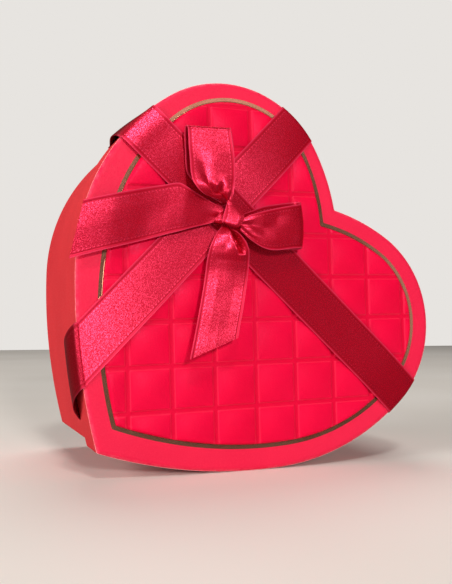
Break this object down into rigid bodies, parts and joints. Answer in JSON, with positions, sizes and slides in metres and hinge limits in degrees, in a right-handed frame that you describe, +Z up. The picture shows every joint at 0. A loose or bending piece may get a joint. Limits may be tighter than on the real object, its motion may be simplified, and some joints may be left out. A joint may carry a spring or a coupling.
{
  "type": "heart gift box",
  "caption": "Heart-shaped paperboard gift box with a telescoping lift-off lid, a quilted red panel, a foil line and a satin ribbon tied in a bow.",
  "frame": {"origin": "middle of the box's outline on the ground, below the standing heart, at the lowest point of the lid's rim", "axes": "+Z up; the lid faces -Y and lifts off along -Y; +X to the right when facing the lid; the heart's axis rises 43.7 degrees from the tip at the lower left to the notch at the upper right"},
  "size_m": [0.2125, 0.1344, 0.2066],
  "materials": {
    "greyboard": "matte",
    "side_paper": "matte",
    "face_paper": "satin",
    "lining_paper": "matte",
    "copper_foil": "satin",
    "quilted_leatherette": "satin",
    "satin_ribbon": "satin"
  },
  "bodies": {
    "base": {"base_bottom_board": "greyboard", "base_wall_left": "greyboard", "base_wall_right": "greyboard", "base_wrap": "side_paper", "base_bottom_sheet": "side_paper", "base_wall_lining": "lining_paper", "base_floor_lining": "lining_paper"},
    "lid": {"lid_top_board": "greyboard", "lid_rim_left": "greyboard", "lid_rim_right": "greyboard", "lid_rim_wrap": "side_paper", "lid_face_sheet": "face_paper", "lid_lining": "lining_paper", "foil_line": "copper_foil", "quilt_card": "greyboard", "quilt_cover": "quilted_leatherette", "ribbon_band_a": "satin_ribbon", "ribbon_band_b": "satin_ribbon", "bow_knot": "satin_ribbon", "bow_loop_upper": "satin_ribbon", "bow_loop_right": "satin_ribbon", "bow_tail_left": "satin_ribbon", "bow_tail_lower": "satin_ribbon"}
  },
  "joints": [
    {"name": "lid_pull", "type": "slide", "parent": "base", "child": "lid", "axis": [0, -1, 0], "range_m": [0, 0.06]}
  ]
}
